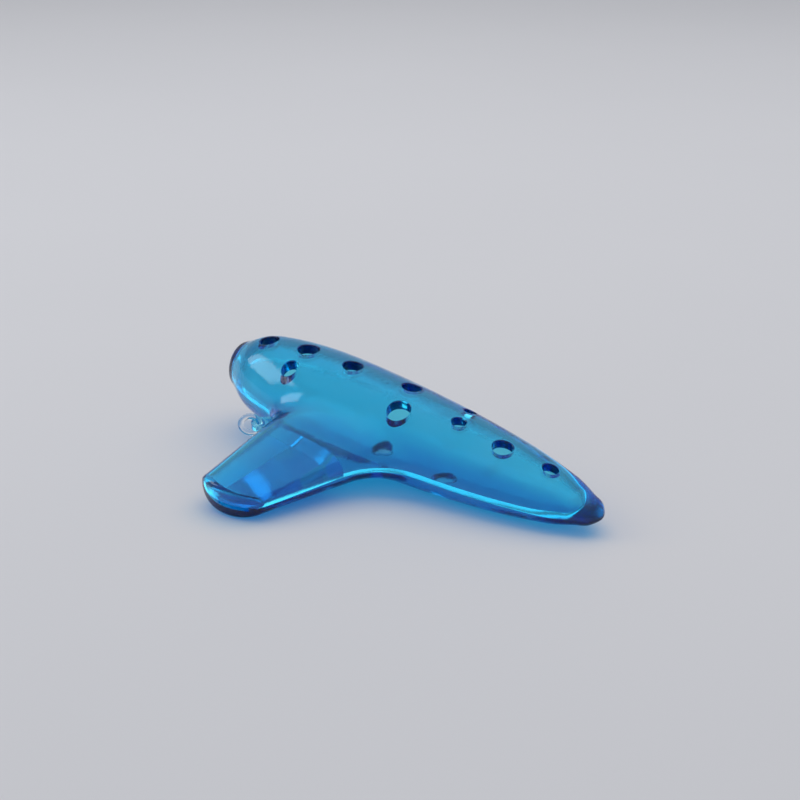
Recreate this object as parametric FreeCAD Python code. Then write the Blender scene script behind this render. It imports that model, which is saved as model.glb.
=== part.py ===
import FreeCAD, Part
import math
import os

V = FreeCAD.Vector

# Transverse ocarina in clear plastic: a torpedo-shaped hollow vessel, a flat mouthpiece on its side.
# Millimetres. It is drawn with the seam in the plane Z = 0, the vessel's axis along X from the blunt
# end at X = 0 to the tail, and the mouthpiece towards -Y. The finished pieces are then leaned into
# the pose in which the ocarina rests on a table.

# Vessel. Its plan and its side view each have an outline of their own, given by where it is widest
# along the length and by how full its blunt end and its tail are (2 is an ellipse, more is fuller).
body_length = 190.0
body_half_width = 24.3
height_up = 20.4
height_down = 17.8
plan_outline = (0.33, 1.9, 2.13)
side_outline = (0.26, 3.2, 1.42)
wall = 4.2
blunt_wall = 4.5
tail_wall = 9.0
glue_line = 0.04          # the lower shell sits this far below the upper one

# Mouthpiece: straight sides, a top and bottom that taper to the tip, and a wide fillet round its root
mouth_tip = -79.0
mouth_right_tip = 80.0
mouth_right_root = 99.6
mouth_left_tip = 51.5
mouth_left_root = 47.0
root_line = -22.0         # Y where the sides meet the vessel
root_fillet_right = 28.0  # radius of the fillet where the right side runs into the vessel
root_fillet_left = 12.0   # and the left side; over the top it changes from one to the other
tip_half_height = 6.5
root_height_up = 16.8
root_height_down = 15.0
taper_power = 1.45
section_power = 2.42      # superellipse of the mouthpiece's section
tip_arc = 24.0            # radius of the tip in plan
tip_rounding = 2.2        # radius along the tip's top and bottom edges
tip_wall = 3.5
mouth_wall = 3.2
mouth_start = -6.0        # Y of its first section, buried in the vessel
mouth_sections = 15
section_points = 16

# Air path
windway_width = 13.0
windway_height = 1.8
windway_drop = 5.6        # how far the windway's roof sinks from the tip's wall to the window
window_front = -36.0      # Y of the block's face, where the jet leaves the windway
window_back = -30.5       # Y of the lip that splits the jet
lip_depth = -8.0          # Z of the lip's edge
lip_ramp = 28.0           # degrees that the lip's outside ramp climbs
lip_run = 20.0            # length of the tool that cuts the ramp, past the shell's skin
block_gap = 0.12

# Holes: X, Y, diameter
finger_holes = (
    (21.0, 0.5, 8.2),      # left little finger
    (41.5, 2.5, 9.2),      # left ring finger
    (42.5, -10.5, 7.0),    # its small neighbour
    (64.5, 4.0, 8.4),      # left middle finger
    (92.0, 8.5, 8.2),      # left index finger
    (98.0, -7.5, 9.8),     # right index finger
    (121.5, 1.0, 6.0),     # right middle finger
    (118.0, 13.0, 5.2),    # its small neighbour
    (143.5, 0.0, 8.4),     # right ring finger
    (164.0, 3.0, 6.5),     # right little finger
)
thumb_holes = (
    (82.0, 2.0, 10.0),     # left thumb
    (119.0, -6.0, 9.5),    # right thumb
)
hole_easing = 0.5

# Lanyard eyelet and ring
eyelet_x = 40.6
eyelet_y = -28.9
eyelet_thickness = 2.6
eyelet_radius = 3.7
eyelet_hole = 4.0
eyelet_root = 9.0         # how far the tab reaches back into the notch
ring_mean_radius = 4.0
ring_wire = 2.6
ring_heading = 218.0      # degrees, the way the ring hangs out from the eyelet

room = 60.0               # a length that clears the whole section, for cutting tools

# Resting pose
pitch = 5.8               # the tail drops by this many degrees
roll = 9.7                # the mouthpiece drops by this many degrees


def fullness(u, outline):
    """Half-outline at u from 0 to 1 along the vessel, as a fraction of its greatest value."""
    widest, blunt_power, tail_power = outline
    if u < widest:
        return math.sqrt(1 - ((widest - u) / widest) ** blunt_power)
    return math.sqrt(1 - ((u - widest) / (1 - widest)) ** tail_power)


def vessel(start, end, half_width, up, down):
    """A closed torpedo form. Its rib runs from end to end, rising by the plan's outline in Y and by
    the side's in Z; the surface carries that rib round a circle squashed to up above and down below."""
    stations = 17
    rib = []
    for i in range(stations + 1):
        u = 0.5 - 0.5 * math.cos(math.pi * i / stations)
        x = start + (end - start) * u
        rib.append(V(x, fullness(u, plan_outline), fullness(u, side_outline)))
    mirrored = [V(p.x, -p.y, -p.z) for p in reversed(rib[1:-1])]
    curve = Part.BSplineCurve()
    curve.interpolate(Points=rib + mirrored, PeriodicFlag=True)
    curve.segment(curve.FirstParameter, curve.parameter(rib[-1]))

    circle = ((1, 0), (1, 1), (0, 1), (-1, 1), (-1, 0), (-1, -1), (0, -1), (1, -1), (1, 0))
    heights = (0, up, up, up, 0, down, down, down, 0)
    poles = []
    for rib_pole in curve.getPoles():
        poles.append([
            V(rib_pole.x, rib_pole.y * half_width * c, rib_pole.z * height * s)
            for (c, s), height in zip(circle, heights)
        ])
    corner = math.sqrt(0.5)
    weights = [[corner if i % 2 else 1.0 for i in range(len(circle))] for row in poles]
    surface = Part.BSplineSurface()
    surface.buildFromPolesMultsKnots(
        poles, curve.getMultiplicities(), (3, 2, 2, 2, 3), curve.getKnots(), (0, 1, 2, 3, 4),
        False, False, curve.Degree, 2, weights)
    solid = Part.Solid(Part.Shell([surface.toShape()]))
    return solid if solid.Volume > 0 else solid.reversed()


def half_of(shape, side):
    """What lies on one side of the seam: 1 for above, -1 for below."""
    corner = V(-room, -3 * room, 0 if side > 0 else -2 * room)
    return shape.common(Part.makeBox(6 * room, 6 * room, 2 * room, corner))


def mouth_section(y, inset):
    """One section of the mouthpiece: a closed superellipse between its left and right sides."""
    t = (y - root_line) / (mouth_tip - root_line)
    right = mouth_right_root + (mouth_right_tip - mouth_right_root) * t - inset
    left = mouth_left_root + (mouth_left_tip - mouth_left_root) * t + inset
    points = []
    for i in range(section_points):
        angle = 2 * math.pi * i / section_points
        root_height = root_height_up if angle < math.pi else root_height_down
        growth = (root_height - tip_half_height) * (1 - y / mouth_tip) ** taper_power
        across = math.copysign(abs(math.cos(angle)) ** (2 / section_power), math.cos(angle))
        rise = math.copysign(abs(math.sin(angle)) ** (2 / section_power), math.sin(angle))
        height = (tip_half_height + growth - inset) * rise
        points.append(V((right + left) / 2 + (right - left) / 2 * across, y, height))
    loop = Part.BSplineCurve()
    loop.interpolate(Points=points, PeriodicFlag=True)
    return Part.Wire([loop.toShape()])


def mouthpiece(inset):
    """The mouthpiece as a solid, its surface drawn in by inset and its tip rounded in plan."""
    step = (mouth_tip - mouth_start) / (mouth_sections - 1)
    sections = [mouth_section(mouth_start + step * i, inset) for i in range(mouth_sections)]
    return Part.makeLoft(sections, True, False)


def windway_line(y):
    """Height of the windway's roof at y: it sinks evenly from the seam, behind the tip's wall."""
    inner_end = mouth_tip + tip_wall
    return -windway_drop * (y - inner_end) / (window_front - inner_end)


def slab_across(profile, width, x_mid):
    """A closed profile in Y and Z, given as a list of pairs, made width wide about x_mid."""
    points = [V(x_mid - width / 2, y, z) for y, z in profile]
    return Part.Face(Part.makePolygon(points + points[:1])).extrude(V(width, 0, 0))


def mouth_mid(y):
    """X of the mouthpiece's centre line at y."""
    t = (y - root_line) / (mouth_tip - root_line)
    tip_mid = (mouth_left_tip + mouth_right_tip) / 2
    root_mid = (mouth_left_root + mouth_right_root) / 2
    return root_mid + (tip_mid - root_mid) * t


def beyond_tip(inset):
    """What the tip's rounded end leaves outside: everything past an arc across the mouthpiece."""
    centre = V(mouth_mid(mouth_tip), mouth_tip + tip_arc, -room)
    disc = Part.makeCylinder(tip_arc - inset, 2 * room, centre)
    block = Part.makeBox(4 * tip_arc, 2 * tip_arc, 2 * room, centre - V(2 * tip_arc, 2 * tip_arc, 0))
    return block.cut(disc)


def joined(body, mouth, inset):
    """A half vessel and a half mouthpiece as one, with the fillet round the root. It starts at one
    side of the mouthpiece with one radius and changes evenly to the other; inset makes it wider."""
    whole = body.fuse(mouth).removeSplitter()
    root = max((edge for edge in whole.Edges if crosses_top(edge)), key=lambda edge: edge.Length)
    radii = [root_fillet_right + inset, root_fillet_left + inset]
    if root.valueAt(root.FirstParameter).x < mouth_mid(root_line):
        radii.reverse()
    return whole.makeFillet(radii[0], radii[1], [root])


def crosses_top(edge):
    """Whether an edge runs from one side of the mouthpiece's root to the other, over its top."""
    if edge.Degenerated:
        return False
    ends = [vertex.Point for vertex in edge.Vertexes]
    middle = edge.discretize(3)[1]
    return all(mouth_tip / 2 < end.y < mouth_start for end in ends) and abs(middle.z) > tip_half_height


def half_outside(side):
    """One half of the whole outer form, its tip rounded in plan and along its edge."""
    body = half_of(vessel(0, body_length, body_half_width, height_up, height_down), side)
    mouth = mouthpiece(0).cut(beyond_tip(0))
    mouth = mouth.makeFillet(tip_rounding, [edge for edge in mouth.Edges if on_arc(edge)])
    return joined(body, half_of(mouth, side), 0)


def on_arc(edge):
    """Whether an edge lies on the arc of the tip."""
    centre_x = mouth_mid(mouth_tip)
    centre_y = mouth_tip + tip_arc
    points = edge.discretize(5)
    return all(abs(math.hypot(p.x - centre_x, p.y - centre_y) - tip_arc) < 0.01 for p in points)


def pocket(clearance):
    """The hollow in the mouthpiece; clearance makes the block that fills it smaller."""
    return mouthpiece(mouth_wall + clearance).cut(beyond_tip(tip_wall + clearance))


def half_inside(side):
    """One half of the chamber and the mouthpiece's hollow."""
    tail = body_length - tail_wall
    chamber = vessel(blunt_wall, tail, body_half_width - wall, height_up - wall, height_down - wall)
    return joined(half_of(chamber, side), half_of(pocket(0), side), wall)


def drilled(shell, holes, side):
    """The shell with its finger or thumb holes, all square to the seam, their outer edges eased."""
    for x, y, diameter in holes:
        shell = shell.cut(Part.makeCylinder(diameter / 2, room, V(x, y, 0), V(0, 0, side)))
    rims = []
    for x, y, diameter in holes:
        rims += outer_rim(shell, x, y, diameter / 2)
    return shell.makeFillet(hole_easing, rims)


def outer_rim(shell, x, y, radius):
    """The edges of one hole on the outside of the shell: the ones round it, furthest from the seam."""
    round_it = []
    for edge in shell.Edges:
        if edge.Degenerated:
            continue
        points = edge.discretize(7)
        on_wall = all(abs(math.hypot(p.x - x, p.y - y) - radius) < 0.01 for p in points)
        if on_wall and math.hypot(points[0].x - points[3].x, points[0].y - points[3].y) > radius / 4:
            round_it.append(edge)
    furthest = max(abs(edge.CenterOfMass.z) for edge in round_it)
    return [edge for edge in round_it if abs(edge.CenterOfMass.z) > furthest - wall / 2]


def windway():
    """The flat slanted air channel from the tip to the window."""
    start = mouth_tip - 1
    roof = [(start, windway_line(start)), (window_front, windway_line(window_front))]
    floor = [(y, z - windway_height) for y, z in reversed(roof)]
    return slab_across(roof + floor, windway_width, mouth_mid(window_front))


def window():
    """The opening under the throat, and the ramp that leaves the lip's sharp edge beside it."""
    mid = mouth_mid(window_front)
    roof = windway_line(window_front)
    hole = slab_across(
        [(window_front, roof), (window_back, roof), (window_back, -room), (window_front, -room)],
        windway_width, mid)
    end = window_back + lip_run
    low = lip_depth - lip_run * math.tan(math.radians(lip_ramp))
    ramp = slab_across([(window_back, lip_depth), (end, low), (window_back, low)], windway_width, mid)
    return hole.fuse(ramp)


def eyelet():
    """The flat tab in the notch beside the mouthpiece, its top in the seam, with an upright hole."""
    low = -eyelet_thickness
    head = Part.makeCylinder(eyelet_radius, eyelet_thickness, V(eyelet_x, eyelet_y, low))
    heading = math.radians(ring_heading)
    away = V(math.cos(heading), math.sin(heading), 0)
    aside = V(-away.y, away.x, 0)
    centre = V(eyelet_x, eyelet_y, low)
    corners = [
        centre + aside * eyelet_radius,
        centre - aside * eyelet_radius,
        centre - aside * eyelet_radius - away * eyelet_root,
        centre + aside * eyelet_radius - away * eyelet_root,
    ]
    root = Part.Face(Part.makePolygon(corners + corners[:1])).extrude(V(0, 0, eyelet_thickness))
    return head.fuse(root).removeSplitter()


def eyelet_bore():
    """The hole that the ring passes through."""
    low = V(eyelet_x, eyelet_y, -1.5 * eyelet_thickness)
    return Part.makeCylinder(eyelet_hole / 2, 2 * eyelet_thickness, low)


def lanyard_ring():
    """A round ring standing upright through the eyelet, its wire centred in the hole."""
    heading = math.radians(ring_heading)
    away = V(math.cos(heading), math.sin(heading), 0)
    centre = V(eyelet_x, eyelet_y, -eyelet_thickness / 2) + away * ring_mean_radius
    return Part.makeTorus(ring_mean_radius, ring_wire / 2, centre, V(-away.y, away.x, 0))


def upper_shell():
    """The top half: vessel and mouthpiece roof, with ten finger holes."""
    shell = half_outside(1).cut(half_inside(1))
    return drilled(shell, finger_holes, 1)


def lower_shell():
    """The bottom half: thumb holes, windway floor, sound window with its lip, and the eyelet."""
    inside = half_inside(-1)
    shell = half_outside(-1).fuse(eyelet()).cut(inside).cut(eyelet_bore())
    shell = shell.cut(windway()).cut(window())
    shell = drilled(shell, thumb_holes, -1)
    return shell.translated(V(0, 0, -glue_line))


def windway_block():
    """The insert that fills the mouthpiece's hollow behind the window and roofs the windway."""
    corner = V(mouth_mid(mouth_tip) - 2 * tip_arc, mouth_tip, -room)
    behind = Part.makeBox(4 * tip_arc, window_front - mouth_tip, 2 * room, corner)
    return pocket(block_gap).common(behind).cut(windway())


def leaned(shape):
    """A piece turned into the resting pose: rolled onto the mouthpiece, then pitched onto the tail."""
    shape = shape.copy()
    shape.rotate(V(0, 0, 0), V(1, 0, 0), roll)
    shape.rotate(V(0, 0, 0), V(0, 1, 0), pitch)
    return shape


pieces = {
    "upper_shell": upper_shell(),
    "lower_shell": lower_shell(),
    "windway_block": windway_block(),
    "lanyard_ring": lanyard_ring(),
}
for name, shape in pieces.items():
    print(name, "valid", shape.isValid(), "solids", len(shape.Solids), "volume", round(shape.Volume))
posed = {name: leaned(shape) for name, shape in pieces.items()}
box = Part.makeCompound(list(posed.values())).optimalBoundingBox(True, False)
print("overall", round(box.XLength, 1), round(box.YLength, 1), round(box.ZLength, 1))
to_origin = V(-box.Center.x, -box.Center.y, -box.ZMin)
print("origin shift", to_origin)
os.makedirs("parts", exist_ok=True)
for name, shape in posed.items():
    shape.translate(to_origin)
    shape.Solids[0].exportStep("parts/" + name + ".step")
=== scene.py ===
import math

import bpy
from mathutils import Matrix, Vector


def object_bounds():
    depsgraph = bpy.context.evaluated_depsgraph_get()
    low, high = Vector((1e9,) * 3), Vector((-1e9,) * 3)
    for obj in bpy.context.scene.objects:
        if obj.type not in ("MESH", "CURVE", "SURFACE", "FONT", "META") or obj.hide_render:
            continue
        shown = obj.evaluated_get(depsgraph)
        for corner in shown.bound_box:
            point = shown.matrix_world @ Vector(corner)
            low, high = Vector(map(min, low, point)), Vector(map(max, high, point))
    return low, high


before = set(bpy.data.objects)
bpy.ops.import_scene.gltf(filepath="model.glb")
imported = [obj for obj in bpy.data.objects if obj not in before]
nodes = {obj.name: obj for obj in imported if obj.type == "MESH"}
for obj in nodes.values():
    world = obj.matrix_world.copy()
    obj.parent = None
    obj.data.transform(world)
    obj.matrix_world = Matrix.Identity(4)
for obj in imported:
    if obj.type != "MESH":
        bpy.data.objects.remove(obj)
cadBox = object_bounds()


def newMaterial(name):
    # a material with an empty node tree and its output
    material = bpy.data.materials.new(name)
    material.use_nodes = True
    tree = material.node_tree
    tree.nodes.clear()
    output = tree.nodes.new("ShaderNodeOutputMaterial")
    return material, tree, output


def addMath(tree, operation, first, second):
    # one Math node with two sockets as its inputs
    node = tree.nodes.new("ShaderNodeMath")
    node.operation = operation
    tree.links.new(first, node.inputs[0])
    tree.links.new(second, node.inputs[1])
    return node.outputs[0]


def addNoise(tree, vector, scale, detail, roughness, distortion):
    # noise from 0 to 1 over the given coordinates
    node = tree.nodes.new("ShaderNodeTexNoise")
    node.inputs["Scale"].default_value = scale
    node.inputs["Detail"].default_value = detail
    node.inputs["Roughness"].default_value = roughness
    node.inputs["Distortion"].default_value = distortion
    tree.links.new(vector, node.inputs["Vector"])
    return node.outputs["Fac"]


def rescale(tree, value, fromLow, fromHigh, toLow, toHigh):
    # carries one range of values onto another and clamps what lies outside
    node = tree.nodes.new("ShaderNodeMapRange")
    for socket, number in zip(node.inputs[1:5], (fromLow, fromHigh, toLow, toHigh)):
        socket.default_value = number
    tree.links.new(value, node.inputs[0])
    return node.outputs[0]


# the shells' plastic; noise entries are detail, roughness and distortion
bluePlastic = {
    "surfaceTint": (0.72, 0.97, 1.0, 1.0),
    "ior": 1.5,
    "lampTint": (0.50, 0.88, 0.95, 1.0),   # what each wall's skin lets through to lamps
    "dyeColor": (0.01, 0.835, 0.96, 1.0),   # dye in the body of the plastic
    "dyeDensity": 390.0,                   # per metre
    "roughness": (0.06, 0.15),             # lowest and highest
    "smearRange": (0.35, 0.7),             # noise values that get the lowest and the highest
    "smearShare": 0.7,                     # scale of the smears over that of the flow
    "smearNoise": (4.0, 0.65, 0.8),
    "flowScale": 55.0,                     # slow waviness left by the melt's flow
    "flowNoise": (1.0, 0.4, 0.6),
    "flowDepth": 0.00030,
    "skinScale": 900.0,                    # fine texture of the handled skin
    "skinNoise": (3.0, 0.6, 0.0),
    "skinDepth": 0.000012,
}


def clearPlastic(name, settings):
    # glass body with dye by depth; lamps reach through it, tinted, so that its shadow is coloured
    material, tree, output = newMaterial(name)
    coordinates = tree.nodes.new("ShaderNodeTexCoord").outputs["Object"]
    body = tree.nodes.new("ShaderNodeBsdfPrincipled")
    body.inputs["Base Color"].default_value = settings["surfaceTint"]
    body.inputs["Transmission Weight"].default_value = 1.0
    body.inputs["IOR"].default_value = settings["ior"]
    skin = addNoise(tree, coordinates, settings["skinScale"], *settings["skinNoise"])
    smearScale = settings["flowScale"] * settings["smearShare"]
    smears = addNoise(tree, coordinates, smearScale, *settings["smearNoise"])
    roughness = rescale(tree, smears, *settings["smearRange"], *settings["roughness"])
    tree.links.new(roughness, body.inputs["Roughness"])

    flow = tree.nodes.new("ShaderNodeBump")
    flow.inputs["Distance"].default_value = settings["flowDepth"]
    waves = addNoise(tree, coordinates, settings["flowScale"], *settings["flowNoise"])
    tree.links.new(waves, flow.inputs["Height"])
    fine = tree.nodes.new("ShaderNodeBump")
    fine.inputs["Distance"].default_value = settings["skinDepth"]
    tree.links.new(skin, fine.inputs["Height"])
    tree.links.new(flow.outputs["Normal"], fine.inputs["Normal"])
    tree.links.new(fine.outputs["Normal"], body.inputs["Normal"])

    through = tree.nodes.new("ShaderNodeBsdfTransparent")
    through.inputs["Color"].default_value = settings["lampTint"]
    rays = tree.nodes.new("ShaderNodeLightPath")
    pick = tree.nodes.new("ShaderNodeMixShader")
    soft = addMath(tree, "MAXIMUM", rays.outputs["Is Shadow Ray"], rays.outputs["Is Diffuse Ray"])
    tree.links.new(soft, pick.inputs["Fac"])
    tree.links.new(body.outputs["BSDF"], pick.inputs[1])
    tree.links.new(through.outputs["BSDF"], pick.inputs[2])
    tree.links.new(pick.outputs["Shader"], output.inputs["Surface"])

    dye = tree.nodes.new("ShaderNodeVolumeAbsorption")
    dye.inputs["Color"].default_value = settings["dyeColor"]
    dye.inputs["Density"].default_value = settings["dyeDensity"]
    tree.links.new(dye.outputs["Volume"], output.inputs["Volume"])
    return material


insertPlastic = dict(bluePlastic, dyeDensity=150.0)  # the insert is cast paler than the shells
ringPlastic = dict(
    bluePlastic,
    surfaceTint=(0.97, 0.985, 1.0, 1.0),
    lampTint=(0.93, 0.95, 0.97, 1.0),
    dyeColor=(0.55, 0.80, 0.95, 1.0),
    dyeDensity=40.0,
    flowScale=160.0,
)

shellMaterial = clearPlastic("bluePlastic", bluePlastic)
insertMaterial = clearPlastic("paleBluePlastic", insertPlastic)
ringMaterial = clearPlastic("colourlessPlastic", ringPlastic)


def dress(name, material):
    # every slot of a CAD node takes the new finish
    mesh = nodes[name].data
    if not mesh.materials:
        mesh.materials.append(material)
    for i in range(len(mesh.materials)):
        mesh.materials[i] = material


dress("upper_shell", shellMaterial)
dress("lower_shell", shellMaterial)
dress("windway_block", insertMaterial)
dress("lanyard_ring", ringMaterial)
print("plastics done")


table = {
    "size": 9.0,
    "color": (0.67, 0.675, 0.705, 1.0),
    "shade": (0.64, 0.645, 0.675, 1.0),
    "roughness": 0.55,
    "specular": 0.25,
    "shadeScale": 3.0,
    "shadeNoise": (3.0, 0.5, 0.0),
    "drop": 0.00005,   # a hair under the object, so that the two surfaces never share a plane
}


def makeTable(settings):
    # a flat square, centred under the object
    half = settings["size"] / 2
    low = -settings["drop"]
    corners = [(-half, -half, low), (half, -half, low), (half, half, low), (-half, half, low)]
    mesh = bpy.data.meshes.new("tableTop")
    mesh.from_pydata(corners, [], [(0, 1, 2, 3)])
    top = bpy.data.objects.new("tableTop", mesh)
    bpy.context.scene.collection.objects.link(top)
    material, tree, output = newMaterial("paleTable")
    coordinates = tree.nodes.new("ShaderNodeTexCoord").outputs["Object"]
    surface = tree.nodes.new("ShaderNodeBsdfPrincipled")
    surface.inputs["Roughness"].default_value = settings["roughness"]
    surface.inputs["Specular IOR Level"].default_value = settings["specular"]
    mix = tree.nodes.new("ShaderNodeMix")
    mix.data_type = "RGBA"
    mix.inputs["A"].default_value = settings["color"]
    mix.inputs["B"].default_value = settings["shade"]
    clouds = addNoise(tree, coordinates, settings["shadeScale"], *settings["shadeNoise"])
    tree.links.new(clouds, mix.inputs["Factor"])
    tree.links.new(mix.outputs["Result"], surface.inputs["Base Color"])
    tree.links.new(surface.outputs["BSDF"], output.inputs["Surface"])
    mesh.materials.append(material)
    return top


makeTable(table)
print("table done")


# an even pale room, one broad soft lamp above and a weaker one from the left
room = {"color": (0.93, 0.95, 1.0, 1.0), "strength": 0.42}
lamps = {
    "overhead": {
        "at": (-0.2, 0.5, 1.5),
        "size": (2.6, 2.0),
        "power": 19.0,
        "color": (1.0, 0.99, 0.98),
        "mirrored": False,   # whether glossy surfaces show it
    },
    "leftFill": {
        "at": (-1.1, -0.45, 0.75),
        "size": (0.6, 0.6),
        "power": 2.6,
        "color": (0.96, 0.98, 1.0),
        "mirrored": True,
    },
}


def makeLamp(name, settings, target):
    # an oblong area lamp aimed at the target
    light = bpy.data.lights.new(name, "AREA")
    light.shape = "RECTANGLE"
    light.size, light.size_y = settings["size"]
    light.energy = settings["power"]
    light.color = settings["color"]
    lamp = bpy.data.objects.new(name, light)
    bpy.context.scene.collection.objects.link(lamp)
    lamp.location = settings["at"]
    lamp.rotation_euler = (target - lamp.location).to_track_quat("-Z", "Y").to_euler()
    lamp.visible_glossy = settings["mirrored"]
    return lamp


world = bpy.data.worlds.new("room")
world.use_nodes = True
bpy.context.scene.world = world
background = world.node_tree.nodes["Background"]
background.inputs["Color"].default_value = room["color"]
background.inputs["Strength"].default_value = room["strength"]
low, high = cadBox
middle = (low + high) / 2
for lampName, lampSettings in lamps.items():
    makeLamp(lampName, lampSettings, middle)
print("light done")


view = {
    "azimuth": 38.19,      # degrees round from looking along +Y
    "elevation": 21.80,
    "distance": 0.6679,
    "target": (-0.01136, 0.03799, 0.0257),
    "lens": 72.19,         # millimetres
    "sensor": 36.0,
    "clip": (0.01, 60.0),
}


def makeCamera(settings):
    # stands off the target along its line of sight and looks at it
    azimuth = math.radians(settings["azimuth"])
    elevation = math.radians(settings["elevation"])
    forward = Vector((
        -math.sin(azimuth) * math.cos(elevation),
        math.cos(azimuth) * math.cos(elevation),
        -math.sin(elevation),
    ))
    data = bpy.data.cameras.new("camera")
    data.lens = settings["lens"]
    data.sensor_width = settings["sensor"]
    data.clip_start, data.clip_end = settings["clip"]
    camera = bpy.data.objects.new("camera", data)
    bpy.context.scene.collection.objects.link(camera)
    camera.location = Vector(settings["target"]) - forward * settings["distance"]
    camera.rotation_euler = forward.to_track_quat("-Z", "Y").to_euler()
    bpy.context.scene.camera = camera
    return camera


makeCamera(view)

# light bends through many walls on its way
bounces = {"all": 24, "transmission": 24, "glossy": 12, "transparent": 40}
cycles = bpy.context.scene.cycles
cycles.max_bounces = bounces["all"]
cycles.transmission_bounces = bounces["transmission"]
cycles.glossy_bounces = bounces["glossy"]
cycles.transparent_max_bounces = bounces["transparent"]
cycles.caustics_reflective = False
cycles.use_denoising = True
bpy.context.scene.view_settings.view_transform = "Standard"
print("camera done")
